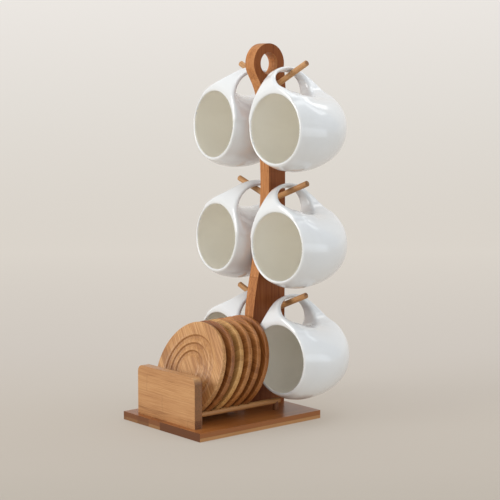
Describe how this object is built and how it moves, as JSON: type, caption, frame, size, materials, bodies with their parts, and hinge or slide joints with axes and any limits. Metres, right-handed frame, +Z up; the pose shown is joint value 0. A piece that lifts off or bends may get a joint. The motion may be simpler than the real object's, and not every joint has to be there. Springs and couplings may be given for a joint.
{
  "type": "mug tree",
  "caption": "Wooden mug tree: slim post with tilted pegs holding bellied mugs, on a flat base with a leaning coaster rack behind a front panel.",
  "frame": {"origin": "centre of the base board's underside, on the surface that the rack stands on", "axes": "+Z up the post, -Y towards the front panel and the mugs' openings, +X to the right of somebody facing the front"},
  "size_m": [0.1887, 0.201, 0.3842],
  "materials": {
    "base": "lacquered carbonised bamboo, satin to gloss",
    "post": "lacquered carbonised bamboo, satin",
    "panel": "lacquered bamboo, satin",
    "dowel": "bare turned bamboo, satin",
    "peg": "bare turned bamboo, satin",
    "coaster": "turned bamboo, satin",
    "screw": "zinc plated steel",
    "glaze": "white glossy glaze"
  },
  "bodies": {
    "stand": {"base_board": "base", "post": "post", "front_panel": "panel", "rail_left": "dowel", "rail_right": "dowel", "rail_feet": "dowel", "peg_top_right": "peg", "peg_mid_right": "peg", "peg_low_right": "peg", "peg_top_left": "peg", "peg_mid_left": "peg", "peg_low_left": "peg", "post_screws": "screw", "panel_screws": "screw"},
    "mug_top_right": {"mug_top_right": "glaze"},
    "mug_mid_right": {"mug_mid_right": "glaze"},
    "mug_low_right": {"mug_low_right": "glaze"},
    "mug_top_left": {"mug_top_left": "glaze"},
    "mug_mid_left": {"mug_mid_left": "glaze"},
    "mug_low_left": {"mug_low_left": "glaze"},
    "coaster_1": {"coaster_1": "coaster"},
    "coaster_2": {"coaster_2": "coaster"},
    "coaster_3": {"coaster_3": "coaster"},
    "coaster_4": {"coaster_4": "coaster"},
    "coaster_5": {"coaster_5": "coaster"},
    "coaster_6": {"coaster_6": "coaster"}
  },
  "joints": [
    {"name": "mug_top_right_off", "type": "slide", "parent": "stand", "child": "mug_top_right", "axis": [0.8988, 0, 0.4384], "range_m": [0, 0.06]},
    {"name": "mug_mid_right_off", "type": "slide", "parent": "stand", "child": "mug_mid_right", "axis": [0.9397, 0, 0.342], "range_m": [0, 0.06]},
    {"name": "mug_low_right_off", "type": "slide", "parent": "stand", "child": "mug_low_right", "axis": [0.9272, 0, 0.3746], "range_m": [0, 0.026]},
    {"name": "mug_top_left_off", "type": "slide", "parent": "stand", "child": "mug_top_left", "axis": [-0.8988, 0, 0.4384], "range_m": [0, 0.06]},
    {"name": "mug_mid_left_off", "type": "slide", "parent": "stand", "child": "mug_mid_left", "axis": [-0.9397, 0, 0.342], "range_m": [0, 0.06]},
    {"name": "mug_low_left_off", "type": "slide", "parent": "stand", "child": "mug_low_left", "axis": [-0.9272, 0, 0.3746], "range_m": [0, 0.0255]},
    {"name": "coaster_1_lift", "type": "slide", "parent": "stand", "child": "coaster_1", "axis": [0, 0.3665, 0.9304], "range_m": [0, 0.11]},
    {"name": "coaster_2_lift", "type": "slide", "parent": "stand", "child": "coaster_2", "axis": [0, 0.3584, 0.9336], "range_m": [0, 0.095]},
    {"name": "coaster_3_lift", "type": "slide", "parent": "stand", "child": "coaster_3", "axis": [0, 0.3502, 0.9367], "range_m": [0, 0.07]},
    {"name": "coaster_4_lift", "type": "slide", "parent": "stand", "child": "coaster_4", "axis": [0, 0.342, 0.9397], "range_m": [0, 0.055]},
    {"name": "coaster_5_lift", "type": "slide", "parent": "stand", "child": "coaster_5", "axis": [0, 0.3289, 0.9444], "range_m": [0, 0.05]},
    {"name": "coaster_6_lift", "type": "slide", "parent": "stand", "child": "coaster_6", "axis": [0, 0.0872, 0.9962], "range_m": [0, 0.016]}
  ]
}
